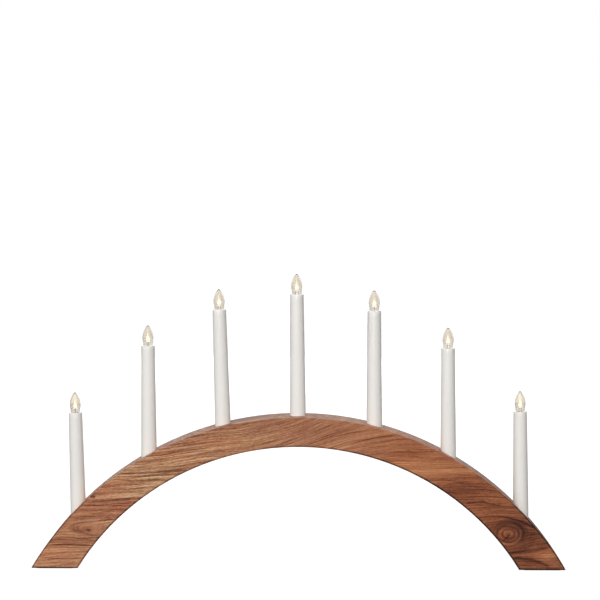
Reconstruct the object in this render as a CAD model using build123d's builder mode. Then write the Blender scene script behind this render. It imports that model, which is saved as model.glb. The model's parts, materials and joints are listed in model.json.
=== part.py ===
from build123d import *
import math
import os

os.makedirs("parts", exist_ok=True)

# ------------------------------------------------------------------ driving dimensions (mm, degrees)
# Frame: +X to the right, +Y to the back, +Z up, floor at z = 0.

# wooden arch
DEPTH = 48.0                        # front to back
R_OUT, Z_OUT = 365.6, -185.6        # circle of the upper edge: radius, height of its centre
R_IN, Z_IN = 305.5, -160.1          # circle of the soffit: radius, height of its centre
EDGE_R = 0.6                        # rounded arrises
PAD_T = 1.0                         # felt under the feet
PAD_X, PAD_Y = 46.0, 40.0

# wiring channel in the soffit, its cover strip and screws
CHANNEL_DEEP = 10.0
CHANNEL_HALF = 7.0
CHANNEL_END = 55.0                  # degrees from the crown
REBATE_DEEP = 2.5
REBATE_HALF = 13.0
REBATE_END = 56.5
POCKET_X0, POCKET_X1 = 242.0, 269.5
POCKET_Z0, POCKET_Z1 = 14.0, 30.5
COVER_SCREWS = ((-52.5, 10), (-39.0, -10), (-25.0, 10), (-8.0, -10), (8.0, 10), (25.0, -10), (38.5, 10), (52.5, -10))
SCREW_LEN = 12.0

# cord inlet in the back of the right leg
INLET_ANGLE = 48.5
INLET_RAD = 10.5                    # above the soffit circle
INLET_BORE = 3.1
BUSH_R = 5.0
BUSH_FLANGE_R, BUSH_FLANGE_T = 7.4, 2.0

# candles, left to right: x where the axis meets the arch, height of the rim, lean to the left (-) or right (+)
CANDLE_X = (-261.3, -176.95, -89.4, -0.65, 89.5, 176.9, 262.9)
RIM_Z = (182.5, 262.0, 305.0, 323.05, 303.9, 260.1, 185.4)
LEAN = (-1.37, -0.35, -1.72, -0.6, -0.2, -0.39, -0.75)

SLEEVE_LEN = 157.0
SLEEVE_TOP_R = 7.93
SLEEVE_FOOT_R = 9.46
SLEEVE_WALL = 1.2
SLEEVE_HOLE_R = 9.65
WIRE_WAY_R = 6.5

# bulb, heights from the sleeve's rim
GLASS_R = 6.43
GLASS_MAX_S = 9.8
OGIVE_R = 19.9
TIP_R = 1.2
SHOULDER_R, SHOULDER_S = 6.30, 6.1  # lower end of the wide part
STEM_TOP_R, STEM_TOP_S = 5.84, 5.1  # upper end of the narrower stem below it
GLASS_RIM_R = 5.6
NECK_R = 4.15
NECK_S = -6.2
NECK_END = -9.5
GLASS_T = 0.7
THREAD_PITCH = 1.814
CAP_CREST, CAP_ROOT, CAP_IN = 4.75, 4.45, 4.2
CAP_TOP, CAP_BOTTOM = -6.3, -15.4
TIP_BOTTOM = -18.75

# LED of the bulb, heights from the rim; its two leads are turned differently in every bulb
LED_FLANGE_R, LED_FLANGE_LO, LED_FLANGE_HI = 2.8, 4.6, 5.5
LED_R, LED_DOME_S = 2.4, 8.9
LEAD_X, LEAD_R, LEAD_END = 1.27, 0.3, -13.5
LED_TURN = (80.0, 70.0, 0.0, 10.0, 90.0, 35.0, -5.0)

# lampholder, heights from the rim
COLLAR_TOP, COLLAR_IN = -0.8, 6.05   # funnel round the neck of the bulb, just below the rim
HOLDER_TOP, HOLDER_BOTTOM = -4.5, -30.0
SHELL_IN, SHELL_OUT = 4.95, 5.2
SHELL_TOP, SHELL_BOTTOM = -4.9, -16.7
CHAMBER_R, CHAMBER_FLOOR = 4.0, -22.5
STEM_R = 1.2
STEM_BORE = 1.27
TAG_X, TAG_END = 4.45, -28.0

WIRE_R = 0.8

# ------------------------------------------------------------------ geometry helpers
L = SLEEVE_LEN


def soffit(theta, rad, y=0.0, along=0.0):
    """Point at an angle from the crown, rad above the soffit circle, moved along the tangent."""
    a = math.radians(theta)
    r = R_IN + rad
    return (r * math.sin(a) + along * math.cos(a), y, Z_IN + r * math.cos(a) - along * math.sin(a))


def soffit_frame(theta, rad, y=0.0):
    """Frame with local X along the channel and local Z away from the soffit."""
    return Location(soffit(theta, rad, y), (0, theta, 0))


def sleeve_in(z):
    return SLEEVE_FOOT_R + (SLEEVE_TOP_R - SLEEVE_FOOT_R) * z / L - SLEEVE_WALL


def mid_on_arc(centre, p, q):
    """Point of the arc p-q about centre, halfway between them."""
    mx, my = (p[0] + q[0]) / 2 - centre[0], (p[1] + q[1]) / 2 - centre[1]
    r = math.hypot(p[0] - centre[0], p[1] - centre[1])
    n = math.hypot(mx, my)
    return (centre[0] + mx / n * r, centre[1] + my / n * r)


# foot of each candle: where the sleeve's lower end stands, and the frame of its axis
FEET, STACKS = [], []
for x, rim, lean in zip(CANDLE_X, RIM_Z, LEAN):
    t = math.radians(lean)
    surf = Z_OUT + math.sqrt(R_OUT**2 - x**2)
    rim_x = x + (rim - surf) * math.tan(t)
    FEET.append((rim_x - L * math.sin(t), rim - L * math.cos(t), t))
    STACKS.append(Location((FEET[-1][0], 0, FEET[-1][1]), (0, lean, 0)))


def in_stack(k, lx, lz):
    """Point in the plane of the arch from a candle's own coordinates (k from 1)."""
    fx, fz, t = FEET[k - 1]
    return (fx + lx * math.cos(t) + lz * math.sin(t), 0.0, fz - lx * math.sin(t) + lz * math.cos(t))


# ------------------------------------------------------------------ wooden arch
out_x = math.sqrt(R_OUT**2 - (PAD_T - Z_OUT) ** 2)
in_x = math.sqrt(R_IN**2 - (PAD_T - Z_IN) ** 2)

with BuildPart() as arch:
    with BuildSketch(Plane.XZ):
        with BuildLine():
            ThreePointArc((-out_x, PAD_T), (0, Z_OUT + R_OUT), (out_x, PAD_T))
            Line((out_x, PAD_T), (in_x, PAD_T))
            ThreePointArc((in_x, PAD_T), (0, Z_IN + R_IN), (-in_x, PAD_T))
            Line((-in_x, PAD_T), (-out_x, PAD_T))
        make_face()
    extrude(amount=DEPTH / 2, both=True)
    fillet(arch.edges(), radius=EDGE_R)

    # rebate for the cover strip
    with BuildSketch(Plane.XZ):
        with BuildLine():
            a, b = soffit(-REBATE_END, -6), soffit(REBATE_END, -6)
            c, d = soffit(REBATE_END, REBATE_DEEP), soffit(-REBATE_END, REBATE_DEEP)
            ThreePointArc((a[0], a[2]), (0, Z_IN + R_IN - 6), (b[0], b[2]))
            Line((b[0], b[2]), (c[0], c[2]))
            ThreePointArc((c[0], c[2]), (0, Z_IN + R_IN + REBATE_DEEP), (d[0], d[2]))
            Line((d[0], d[2]), (a[0], a[2]))
        make_face()
    extrude(amount=REBATE_HALF, both=True, mode=Mode.SUBTRACT)

    # wiring channel
    with BuildSketch(Plane.XZ):
        with BuildLine():
            a, b = soffit(-CHANNEL_END, -6), soffit(CHANNEL_END, -6)
            c, d = soffit(CHANNEL_END, CHANNEL_DEEP), soffit(-CHANNEL_END, CHANNEL_DEEP)
            ThreePointArc((a[0], a[2]), (0, Z_IN + R_IN - 6), (b[0], b[2]))
            Line((b[0], b[2]), (c[0], c[2]))
            ThreePointArc((c[0], c[2]), (0, Z_IN + R_IN + CHANNEL_DEEP), (d[0], d[2]))
            Line((d[0], d[2]), (a[0], a[2]))
        make_face()
    extrude(amount=CHANNEL_HALF, both=True, mode=Mode.SUBTRACT)

    # pockets at the channel's ends, below the outermost candles
    with Locations(
        ((POCKET_X0 + POCKET_X1) / 2, 0, (POCKET_Z0 + POCKET_Z1) / 2),
        (-(POCKET_X0 + POCKET_X1) / 2, 0, (POCKET_Z0 + POCKET_Z1) / 2),
    ):
        Box(POCKET_X1 - POCKET_X0, 2 * CHANNEL_HALF, POCKET_Z1 - POCKET_Z0, mode=Mode.SUBTRACT)

    # blind holes for the sleeves and the wire ways below them
    with Locations(*STACKS):
        Cylinder(SLEEVE_HOLE_R, 95, align=(Align.CENTER, Align.CENTER, Align.MIN), mode=Mode.SUBTRACT)
    with Locations(*STACKS[1:6]):
        Cylinder(WIRE_WAY_R, 25, align=(Align.CENTER, Align.CENTER, Align.MAX), mode=Mode.SUBTRACT)

    # cord inlet: hole drilled from the back into the channel, with a recess for the bush's flange
    ix, _, iz = soffit(INLET_ANGLE, INLET_RAD)
    with Locations(Location((ix, -CHANNEL_HALF + 2, iz), (-90, 0, 0))):
        Cylinder(BUSH_R, DEPTH, align=(Align.CENTER, Align.CENTER, Align.MIN), mode=Mode.SUBTRACT)
    with Locations(Location((ix, DEPTH / 2 - BUSH_FLANGE_T, iz), (-90, 0, 0))):
        Cylinder(BUSH_FLANGE_R + 0.1, DEPTH, align=(Align.CENTER, Align.CENTER, Align.MIN), mode=Mode.SUBTRACT)

    # pilot holes of the cover screws
    with Locations(*[soffit_frame(th, 0, y) for th, y in COVER_SCREWS]):
        Cylinder(1.02, SCREW_LEN + 0.6, align=(Align.CENTER, Align.CENTER, Align.MIN), mode=Mode.SUBTRACT)

arch.part.label = "arch_body"
export_step(arch.part, "parts/arch_body.step")

# ------------------------------------------------------------------ cover strip of the wiring channel
COVER_LO, COVER_HI, COVER_END = 0.2, REBATE_DEEP - 0.05, REBATE_END - 0.15
with BuildPart() as cover:
    with BuildSketch(Plane.XZ):
        with BuildLine():
            a, b = soffit(-COVER_END, COVER_LO), soffit(COVER_END, COVER_LO)
            c, d = soffit(COVER_END, COVER_HI), soffit(-COVER_END, COVER_HI)
            ThreePointArc((a[0], a[2]), (0, Z_IN + R_IN + COVER_LO), (b[0], b[2]))
            Line((b[0], b[2]), (c[0], c[2]))
            ThreePointArc((c[0], c[2]), (0, Z_IN + R_IN + COVER_HI), (d[0], d[2]))
            Line((d[0], d[2]), (a[0], a[2]))
        make_face()
    extrude(amount=REBATE_HALF - 0.2, both=True)
    with Locations(*[soffit_frame(th, 0, y) for th, y in COVER_SCREWS]):
        Cylinder(1.25, 4, align=(Align.CENTER, Align.CENTER, Align.MIN), mode=Mode.SUBTRACT)
        Cone(2.45, 1.1, 1.75, align=(Align.CENTER, Align.CENTER, Align.MIN), mode=Mode.SUBTRACT)
cover.part.label = "soffit_cover"
export_step(cover.part, "parts/soffit_cover.step")

# ------------------------------------------------------------------ countersunk screws of the cover
with BuildPart() as screw:
    with BuildSketch(Plane.XZ):
        with BuildLine():
            Polyline((0, 0.35), (2.05, 0.35), (2.05, 0.5), (1.0, 1.6), (1.0, SCREW_LEN - 1.6), (0, SCREW_LEN), (0, 0.35))
        make_face()
    revolve(axis=Axis.Z)
    with Locations((0, 0, 0.35)):
        Box(2.2, 0.45, 1.2, mode=Mode.SUBTRACT)
        Box(0.45, 2.2, 1.2, mode=Mode.SUBTRACT)
with BuildPart() as cover_screws:
    with Locations(*[soffit_frame(th, 0, y) for th, y in COVER_SCREWS]):
        add(screw.part)
cover_screws.part.label = "cover_screws"
export_step(cover_screws.part, "parts/cover_screws.step")

# ------------------------------------------------------------------ felt pads under the feet
foot_mid = (out_x + in_x) / 2
for side, sx in (("left", -foot_mid), ("right", foot_mid)):
    with BuildPart() as pad:
        with BuildSketch(Plane.XY):
            with Locations((sx, 0)):
                RectangleRounded(PAD_X, PAD_Y, 4.0)
        extrude(amount=PAD_T)
    pad.part.label = f"foot_pad_{side}"
    export_step(pad.part, f"parts/foot_pad_{side}.step")

# ------------------------------------------------------------------ rubber bush of the cord inlet
with BuildPart() as bush:
    with BuildSketch(Plane.XZ):
        with BuildLine():
            Polyline(
                (INLET_BORE, 0), (BUSH_R - 0.05, 0), (BUSH_R - 0.05, DEPTH / 2 - CHANNEL_HALF - BUSH_FLANGE_T),
                (BUSH_FLANGE_R, DEPTH / 2 - CHANNEL_HALF - BUSH_FLANGE_T), (BUSH_FLANGE_R, DEPTH / 2 - CHANNEL_HALF - 0.6),
                (BUSH_FLANGE_R - 0.6, DEPTH / 2 - CHANNEL_HALF), (INLET_BORE, DEPTH / 2 - CHANNEL_HALF), (INLET_BORE, 0),
            )
        make_face()
    revolve(axis=Axis.Z)
with BuildPart() as cord_bush:
    with Locations(Location((ix, CHANNEL_HALF, iz), (-90, 0, 0))):
        add(bush.part)
cord_bush.part.label = "cord_bush"
export_step(cord_bush.part, "parts/cord_bush.step")

# ------------------------------------------------------------------ splice caps in the channel
SPLICE_ANGLE, SPLICE_RAD = 41.5, 5.2
SPLICE_Y = (-4.0, 1.5)
with BuildPart() as splice:
    with BuildSketch(Plane.XY):
        with BuildLine():
            Polyline((-7, 0), (-7, 1.6), (-6.2, 2.4), (7, 2.4), (7, 1.9), (-2, 1.9), (-2, 0), (-7, 0))
        make_face()
    revolve(axis=Axis.X)
with BuildPart() as splice_caps:
    with Locations(*[soffit_frame(SPLICE_ANGLE, SPLICE_RAD, y) for y in SPLICE_Y]):
        add(splice.part)
splice_caps.part.label = "splice_caps"
export_step(splice_caps.part, "parts/splice_caps.step")

# ------------------------------------------------------------------ wire harness
RUN = 5.2                           # height of the wires above the soffit circle in the channel
END_Z = L + TAG_END - 0.1           # wires end at the lampholders' tags


def channel_corner(k, lx, rad):
    """Where a wire coming straight down a candle meets its run in the channel."""
    lo, hi = -60.0, 20.0
    for _ in range(60):
        m = (lo + hi) / 2
        p = in_stack(k, lx, m)
        if math.hypot(p[0], p[2] - Z_IN) > R_IN + rad:
            hi = m
        else:
            lo = m
    return in_stack(k, lx, lo)


def angle_of(p):
    return math.degrees(math.atan2(p[0], p[2] - Z_IN))


def run_between(a0, a1, rad, y):
    n = max(1, round(abs(a1 - a0) / 6.0))
    return [soffit(a0 + (a1 - a0) * i / n, rad, y) for i in range(1, n)]


routes = []
# series wires from one lampholder to the next
for k in range(1, 7):
    pts = [in_stack(k, TAG_X, END_Z)]
    if k == 1:
        low = in_stack(1, TAG_X, 0)
        pts += [(low[0], 0, 17.5)]
        start = -50.0
        pts += [soffit(start, RUN)]
    else:
        corner = channel_corner(k, TAG_X, RUN)
        pts += [corner]
        start = angle_of(corner)
    if k == 6:
        pts += [soffit(37.4, 6.2), soffit(39.2, 8.5), soffit(44.0, 8.6), soffit(47.0, 8.2), soffit(50.5, 6.2)]
        low = in_stack(7, -TAG_X, 0)
        pts += [(low[0], 0, 17.5)]
    else:
        corner = channel_corner(k + 1, -TAG_X, RUN)
        pts += run_between(start, angle_of(corner), RUN, 0) + [corner]
    pts += [in_stack(k + 1, -TAG_X, END_Z)]
    routes.append((pts, 2.4))

# return wire from the first lampholder along the whole channel, turning back into a splice cap
low = in_stack(1, -TAG_X, 0)
pts = [in_stack(1, -TAG_X, END_Z), (low[0], 0, 17.4), (-253.5, 5.6, 18.6), soffit(-50.5, RUN, 5.6)]
pts += run_between(-50.5, 36.5, RUN, 5.6) + [soffit(36.5, RUN, 5.6)]
pts += [
    soffit(SPLICE_ANGLE, SPLICE_RAD, 5.6, -8.0), soffit(SPLICE_ANGLE, SPLICE_RAD, 5.6, 13.0),
    soffit(SPLICE_ANGLE, SPLICE_RAD, SPLICE_Y[1], 13.0), soffit(SPLICE_ANGLE, SPLICE_RAD, SPLICE_Y[1], 0.0),
]
routes.append((pts, 1.9))

# supply wire from the other splice cap to the last lampholder
low = in_stack(7, TAG_X, 0)
pts = [
    soffit(SPLICE_ANGLE, SPLICE_RAD, SPLICE_Y[0], 0.0), soffit(SPLICE_ANGLE, SPLICE_RAD, SPLICE_Y[0], 12.0),
    soffit(47.0, 5.4, SPLICE_Y[0]), soffit(51.0, 5.6, SPLICE_Y[0]), (254.0, SPLICE_Y[0], 18.2), (low[0], 0, 17.4),
    in_stack(7, TAG_X, END_Z),
]
routes.append((pts, 2.2))

with BuildPart() as harness:
    for pts, bend in routes:
        with BuildLine() as route:
            FilletPolyline(*pts, radius=bend)
        with BuildSketch(Plane(origin=route.line @ 0, z_dir=route.line % 0)) as section:
            Circle(WIRE_R)
        sweep(sections=section.sketch, path=route.line)
harness.part.label = "wire_harness"
export_step(harness.part, "parts/wire_harness.step")

# ------------------------------------------------------------------ candle sleeve
with BuildPart() as sleeve:
    with BuildSketch(Plane.XZ):
        with BuildLine():
            Polyline(
                (SLEEVE_FOOT_R - SLEEVE_WALL, 0), (SLEEVE_FOOT_R, 0), (SLEEVE_TOP_R, L),
                (SLEEVE_TOP_R - SLEEVE_WALL, L), (SLEEVE_FOOT_R - SLEEVE_WALL, 0),
            )
        make_face()
    revolve(axis=Axis.Z)
    fillet(sleeve.edges().group_by(Axis.Z)[-1], radius=0.5)

# ------------------------------------------------------------------ lampholder body
with BuildPart() as holder:
    with BuildSketch(Plane.XZ):
        with BuildLine():
            Polyline(
                (STEM_BORE, L + CHAMBER_FLOOR), (STEM_BORE, L - 26.5), (3.0, L - 26.5), (3.0, L + HOLDER_BOTTOM),
                (sleeve_in(L + HOLDER_BOTTOM) - 0.05, L + HOLDER_BOTTOM), (sleeve_in(L + COLLAR_TOP) - 0.05, L + COLLAR_TOP),
                (COLLAR_IN, L + COLLAR_TOP), (SHELL_OUT + 0.05, L + HOLDER_TOP), (SHELL_OUT + 0.05, L + SHELL_BOTTOM), (CHAMBER_R, L + SHELL_BOTTOM),
                (CHAMBER_R, L + CHAMBER_FLOOR), (STEM_BORE, L + CHAMBER_FLOOR),
            )
        make_face()
    revolve(axis=Axis.Z)
    # slots for the two contact tags
    with Locations((4.45, 0, L + (HOLDER_BOTTOM + SHELL_BOTTOM) / 2)):
        Box(0.7, 1.9, SHELL_BOTTOM - HOLDER_BOTTOM + 0.02, mode=Mode.SUBTRACT)
    with Locations((-4.3, 0, L + (HOLDER_BOTTOM - 22.0) / 2)):
        Box(1.0, 1.9, -22.0 - HOLDER_BOTTOM + 0.02, mode=Mode.SUBTRACT)
    # entries for the two wires
    with Locations((TAG_X, 0, L + HOLDER_BOTTOM), (-TAG_X, 0, L + HOLDER_BOTTOM)):
        Cylinder(WIRE_R + 0.15, TAG_END - HOLDER_BOTTOM + 0.1, align=(Align.CENTER, Align.CENTER, Align.MIN), mode=Mode.SUBTRACT)

# ------------------------------------------------------------------ threaded contact shell with its tag
with BuildPart() as shell:
    with BuildSketch(Plane.XZ):
        with BuildLine():
            Polyline(
                (SHELL_IN, L + SHELL_TOP), (SHELL_OUT, L + SHELL_TOP), (SHELL_OUT, L + SHELL_BOTTOM), (4.2, L + SHELL_BOTTOM),
                (4.2, L + SHELL_BOTTOM + 0.3), (SHELL_IN, L + SHELL_BOTTOM + 0.3), (SHELL_IN, L + SHELL_TOP),
            )
        make_face()
    revolve(axis=Axis.Z)
    with Locations((TAG_X, 0, L + (TAG_END + SHELL_BOTTOM + 0.2) / 2)):
        Box(0.4, 1.6, SHELL_BOTTOM + 0.2 - TAG_END)

# ------------------------------------------------------------------ contact ring under the spring, with its tag
with BuildPart() as ring:
    with BuildSketch(Plane.XY.offset(L + CHAMBER_FLOOR)):
        Circle(3.2)
        with Locations((-3.65, 0)):
            Rectangle(2.0, 1.6)
        Circle(1.6, mode=Mode.SUBTRACT)
    extrude(amount=0.4)
    with Locations((-TAG_X, 0, L + (TAG_END + CHAMBER_FLOOR + 0.4) / 2)):
        Box(0.4, 1.6, CHAMBER_FLOOR + 0.4 - TAG_END)

# ------------------------------------------------------------------ centre contact plunger
with BuildPart() as plunger:
    with BuildSketch(Plane.XZ):
        with BuildLine():
            Polyline(
                (0, L - 18.8), (1.7, L - 18.8), (2.0, L - 19.1), (2.0, L - 19.8), (STEM_R, L - 19.8), (STEM_R, L - 28.6),
                (1.9, L - 28.6), (1.9, L - 29.2), (0, L - 29.2), (0, L - 18.8),
            )
        make_face()
    revolve(axis=Axis.Z)

# ------------------------------------------------------------------ contact spring, compressed by the bulb
SPRING_WIRE = 0.14
SPRING_LO, SPRING_HI = -22.1 + 0.16, -19.8 - 0.16
with BuildPart() as spring:
    with BuildLine(Plane.XY.offset(L + SPRING_LO)) as coil:
        Helix(pitch=(SPRING_HI - SPRING_LO) / 4, height=SPRING_HI - SPRING_LO, radius=1.62)
    with BuildSketch(Plane(origin=coil.line @ 0, z_dir=coil.line % 0)) as wire_section:
        Circle(SPRING_WIRE)
    sweep(sections=wire_section.sketch, path=coil.line, is_frenet=True)

# ------------------------------------------------------------------ bulb: envelope
og = (GLASS_R - OGIVE_R, GLASS_MAX_S)                            # centre of the ogive arc
tip_s = GLASS_MAX_S + math.sqrt((OGIVE_R - TIP_R) ** 2 - og[0] ** 2)   # centre of the rounded tip
un = (-og[0] / (OGIVE_R - TIP_R), (tip_s - GLASS_MAX_S) / (OGIVE_R - TIP_R))


def envelope(inset):
    """Half profile from the tip to the neck, moved inwards by inset."""
    o_r, t_r = OGIVE_R - inset, TIP_R - inset
    tip = (0.0, tip_s + t_r)
    join = (og[0] + o_r * un[0], og[1] + o_r * un[1])
    widest = (GLASS_R - inset, GLASS_MAX_S)
    shoulder = (SHOULDER_R - inset, SHOULDER_S)
    stem = (STEM_TOP_R - inset, STEM_TOP_S)
    rim = (GLASS_RIM_R - inset, 0.0)
    neck = (NECK_R - inset, NECK_S)
    end = (NECK_R - inset, NECK_END)
    return tip, join, widest, shoulder, stem, rim, neck, end


with BuildPart() as glass:
    with BuildSketch(Plane.XZ.offset(0)):
        with BuildLine():
            o = [(p[0], p[1] + L) for p in envelope(0)]
            i = [(p[0], p[1] + L) for p in envelope(GLASS_T)]
            for p in (o, i):
                ThreePointArc(p[0], mid_on_arc((0, tip_s + L), p[0], p[1]), p[1])
                ThreePointArc(p[1], mid_on_arc((og[0], og[1] + L), p[1], p[2]), p[2])
                Polyline(*p[2:])
            Line(o[-1], i[-1])
            Line(o[0], i[0])
        make_face()
    revolve(axis=Axis.Z)

# ------------------------------------------------------------------ bulb: screw cap and tip contact
with BuildPart() as cap:
    with BuildSketch(Plane.XZ):
        with BuildLine():
            turns = 4
            top = CAP_BOTTOM + 0.6 + turns * THREAD_PITCH
            Polyline((CAP_IN, L + CAP_BOTTOM), (CAP_IN, L + CAP_TOP), (CAP_CREST, L + CAP_TOP), (CAP_CREST, L + CAP_TOP - 0.4),
                     (CAP_ROOT, L + top))
            for n in range(turns):
                s = top - n * THREAD_PITCH
                ThreePointArc((CAP_ROOT, L + s), (CAP_CREST, L + s - THREAD_PITCH / 2), (CAP_ROOT, L + s - THREAD_PITCH))
            Polyline((CAP_ROOT, L + CAP_BOTTOM + 0.6), (CAP_ROOT, L + CAP_BOTTOM), (CAP_IN, L + CAP_BOTTOM))
        make_face()
    revolve(axis=Axis.Z)
    with BuildSketch(Plane.XZ):
        with BuildLine():
            Polyline(
                (0, L - 13.7), (0.8, L - 13.7), (0.8, L - 17.6), (1.7, L - 17.6), (1.7, L - 18.1), (1.2, L + TIP_BOTTOM),
                (0, L + TIP_BOTTOM), (0, L - 13.7),
            )
        make_face()
    revolve(axis=Axis.Z)

# ------------------------------------------------------------------ bulb: insulator in the end of the cap
with BuildPart() as insulator:
    with BuildSketch(Plane.XZ):
        with BuildLine():
            Polyline(
                (0.85, L - 13.5), (CAP_IN - 0.05, L - 13.5), (CAP_IN - 0.05, L + CAP_BOTTOM - 0.05), (3.9, L + CAP_BOTTOM - 0.05),
                (2.4, L - 17.6), (0.85, L - 17.6), (0.85, L - 13.5),
            )
        make_face()
    revolve(axis=Axis.Z)

# ------------------------------------------------------------------ bulb: LED on its two leads
with BuildPart() as led:
    with BuildSketch(Plane.XZ):
        with BuildLine():
            Polyline(
                (0, L + LED_FLANGE_LO), (LED_FLANGE_R, L + LED_FLANGE_LO), (LED_FLANGE_R, L + LED_FLANGE_HI),
                (LED_R, L + LED_FLANGE_HI), (LED_R, L + LED_DOME_S),
            )
            ThreePointArc(
                (LED_R, L + LED_DOME_S), (LED_R * math.cos(math.pi / 4), L + LED_DOME_S + LED_R * math.sin(math.pi / 4)),
                (0, L + LED_DOME_S + LED_R),
            )
            Line((0, L + LED_DOME_S + LED_R), (0, L + LED_FLANGE_LO))
        make_face()
    revolve(axis=Axis.Z)
    with Locations((LEAD_X, 0, L + LED_FLANGE_LO), (-LEAD_X, 0, L + LED_FLANGE_LO)):
        Cylinder(LEAD_R, LED_FLANGE_LO - LEAD_END, align=(Align.CENTER, Align.CENTER, Align.MAX))

# ------------------------------------------------------------------ the seven candles, each placed on its own axis
per_candle = (
    ("candle_sleeve_{}", sleeve), ("contact_plunger_{}", plunger), ("contact_spring_{}", spring),
    ("bulb_{}_glass", glass), ("bulb_{}_cap", cap), ("bulb_{}_insulator", insulator), ("bulb_{}_led", led),
)
for k, stack in enumerate(STACKS, 1):
    for name, piece in per_candle:
        turn = LED_TURN[k - 1] if piece is led else 0.0
        with BuildPart() as placed:
            with Locations(stack * Location((0, 0, 0), (0, 0, turn))):
                add(piece.part)
        placed.part.label = name.format(k)
        export_step(placed.part, "parts/" + name.format(k) + ".step")

with BuildPart() as lampholder_bodies:
    with Locations(*STACKS):
        add(holder.part)
lampholder_bodies.part.label = "lampholder_bodies"
export_step(lampholder_bodies.part, "parts/lampholder_bodies.step")

with BuildPart() as lampholder_contacts:
    with Locations(*STACKS):
        add(shell.part)
        add(ring.part)
lampholder_contacts.part.label = "lampholder_contacts"
export_step(lampholder_contacts.part, "parts/lampholder_contacts.step")
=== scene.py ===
import json
import math

import bpy
from mathutils import Matrix, Vector


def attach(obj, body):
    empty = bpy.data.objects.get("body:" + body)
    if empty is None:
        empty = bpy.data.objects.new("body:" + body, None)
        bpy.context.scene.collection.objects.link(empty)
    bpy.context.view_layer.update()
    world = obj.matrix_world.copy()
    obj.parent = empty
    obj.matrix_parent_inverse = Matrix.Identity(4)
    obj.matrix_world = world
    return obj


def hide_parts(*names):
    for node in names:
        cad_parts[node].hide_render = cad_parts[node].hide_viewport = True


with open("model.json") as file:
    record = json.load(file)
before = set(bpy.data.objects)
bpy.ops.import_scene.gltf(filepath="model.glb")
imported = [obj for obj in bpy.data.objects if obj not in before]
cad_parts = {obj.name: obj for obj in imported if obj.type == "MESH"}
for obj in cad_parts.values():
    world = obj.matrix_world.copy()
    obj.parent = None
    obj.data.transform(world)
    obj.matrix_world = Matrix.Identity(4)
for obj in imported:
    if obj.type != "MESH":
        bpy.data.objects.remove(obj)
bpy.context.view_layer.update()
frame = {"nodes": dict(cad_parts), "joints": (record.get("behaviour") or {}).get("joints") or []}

nodes = frame["nodes"]
scene = bpy.context.scene
scene.view_settings.view_transform = "Standard"
scene.view_settings.look = "None"

# ------------------------------------------------------------------ camera (from the photograph, 600 x 600)
F_PX, CAM = 2047.3, Vector((0.0390, -2.404, 0.4742))
PAN, TILT, ROLL = math.radians(-0.892), math.radians(-3.755), math.radians(0.071)
fwd = Vector((math.sin(PAN) * math.cos(TILT), math.cos(PAN) * math.cos(TILT), math.sin(TILT)))
right = Vector((math.cos(PAN), -math.sin(PAN), 0))
up = right.cross(fwd)
r2 = math.cos(ROLL) * right + math.sin(ROLL) * up
u2 = -math.sin(ROLL) * right + math.cos(ROLL) * up
cam_data = bpy.data.cameras.new("camera")
cam_data.sensor_fit = "HORIZONTAL"
cam_data.sensor_width = 36.0
cam_data.lens = F_PX / 600.0 * 36.0
cam_data.clip_start, cam_data.clip_end = 0.05, 60.0
cam = bpy.data.objects.new("camera", cam_data)
cam.matrix_world = Matrix((
    (r2.x, u2.x, -fwd.x, CAM.x),
    (r2.y, u2.y, -fwd.y, CAM.y),
    (r2.z, u2.z, -fwd.z, CAM.z),
    (0, 0, 0, 1),
))
scene.collection.objects.link(cam)
scene.camera = cam


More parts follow.
